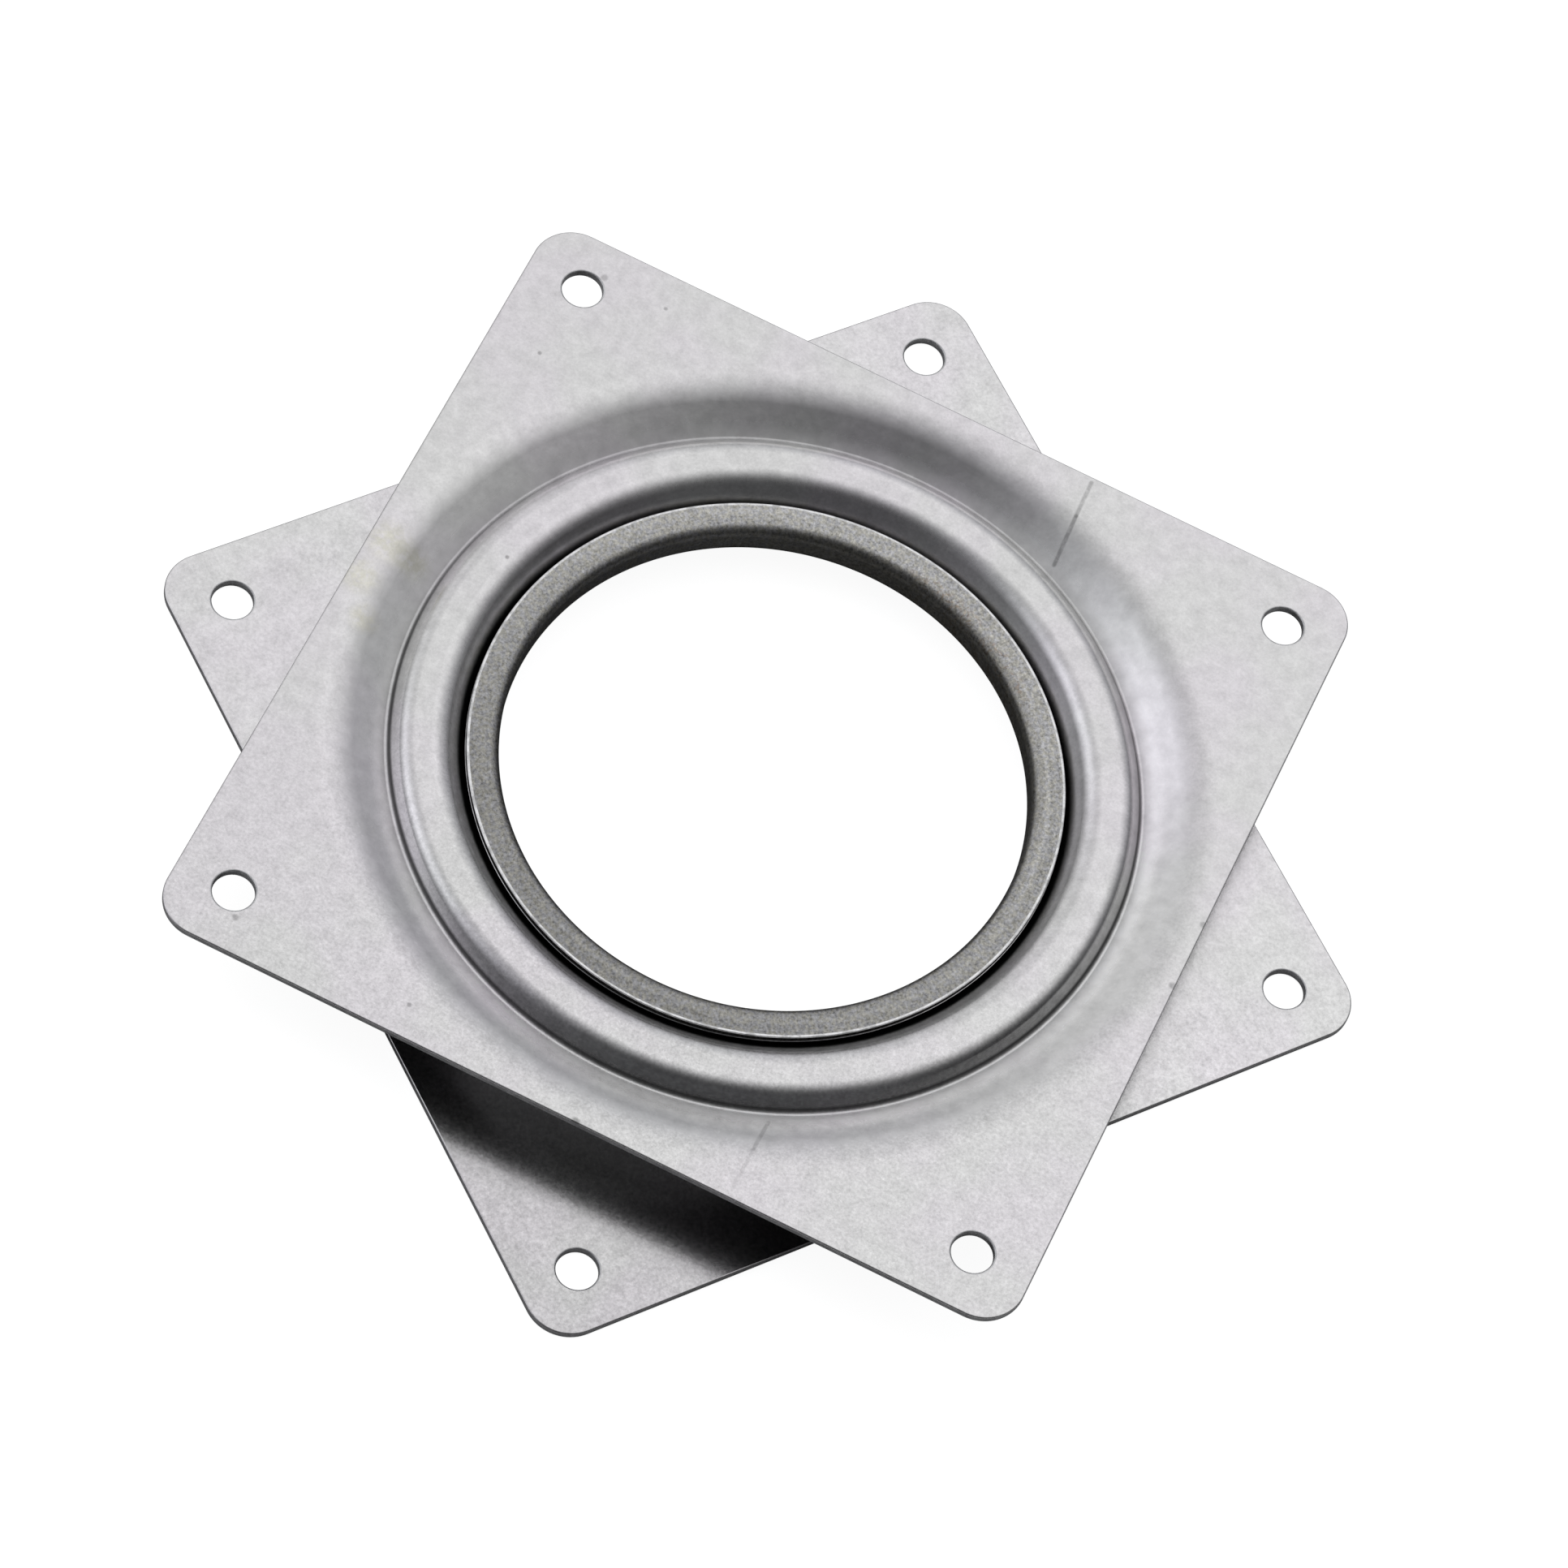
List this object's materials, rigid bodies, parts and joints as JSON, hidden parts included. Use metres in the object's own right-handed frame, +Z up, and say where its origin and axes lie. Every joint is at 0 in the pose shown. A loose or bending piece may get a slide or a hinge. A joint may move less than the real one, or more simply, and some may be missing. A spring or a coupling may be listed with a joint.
{
  "type": "lazy susan bearing",
  "caption": "Low square swivel bearing pressed from sheet steel, with a wide open centre, a ball race and a screw hole at each corner of both plates.",
  "frame": {"origin": "on the bearing's axis, on the face of the bottom plate that is screwed down", "axes": "+Z up along the axis, towards the top plate; X and Y along the sides of the bottom plate. The top plate is turned 38.57 degrees from it, as in the picture"},
  "size_m": [0.1366, 0.1366, 0.01],
  "materials": {
    "zinc_plated_steel": "satin",
    "ball_steel": "polished"
  },
  "bodies": {
    "base": {"bottom_plate": "zinc_plated_steel"},
    "turntable": {"top_plate": "zinc_plated_steel"},
    "ball_ring": {"ball_01": "ball_steel", "ball_02": "ball_steel", "ball_03": "ball_steel", "ball_04": "ball_steel", "ball_05": "ball_steel", "ball_06": "ball_steel", "ball_07": "ball_steel", "ball_08": "ball_steel", "ball_09": "ball_steel", "ball_10": "ball_steel", "ball_11": "ball_steel", "ball_12": "ball_steel", "ball_13": "ball_steel", "ball_14": "ball_steel", "ball_15": "ball_steel", "ball_16": "ball_steel", "ball_17": "ball_steel", "ball_18": "ball_steel", "ball_19": "ball_steel", "ball_20": "ball_steel", "ball_21": "ball_steel", "ball_22": "ball_steel", "ball_23": "ball_steel", "ball_24": "ball_steel", "ball_25": "ball_steel", "ball_26": "ball_steel", "ball_27": "ball_steel", "ball_28": "ball_steel", "ball_29": "ball_steel", "ball_30": "ball_steel", "ball_31": "ball_steel", "ball_32": "ball_steel", "ball_33": "ball_steel", "ball_34": "ball_steel", "ball_35": "ball_steel", "ball_36": "ball_steel"}
  },
  "joints": [
    {"name": "turntable_spin", "type": "hinge", "parent": "base", "child": "turntable", "pos_m": [0, 0, 0.005], "axis": [0, 0, 1], "continuous": true},
    {"name": "ball_orbit", "type": "hinge", "parent": "base", "child": "ball_ring", "pos_m": [0, 0, 0.005], "axis": [0, 0, 1], "continuous": true}
  ],
  "couplings": [
    {"joint": "ball_orbit", "follows": "turntable_spin", "ratio": 0.5}
  ]
}
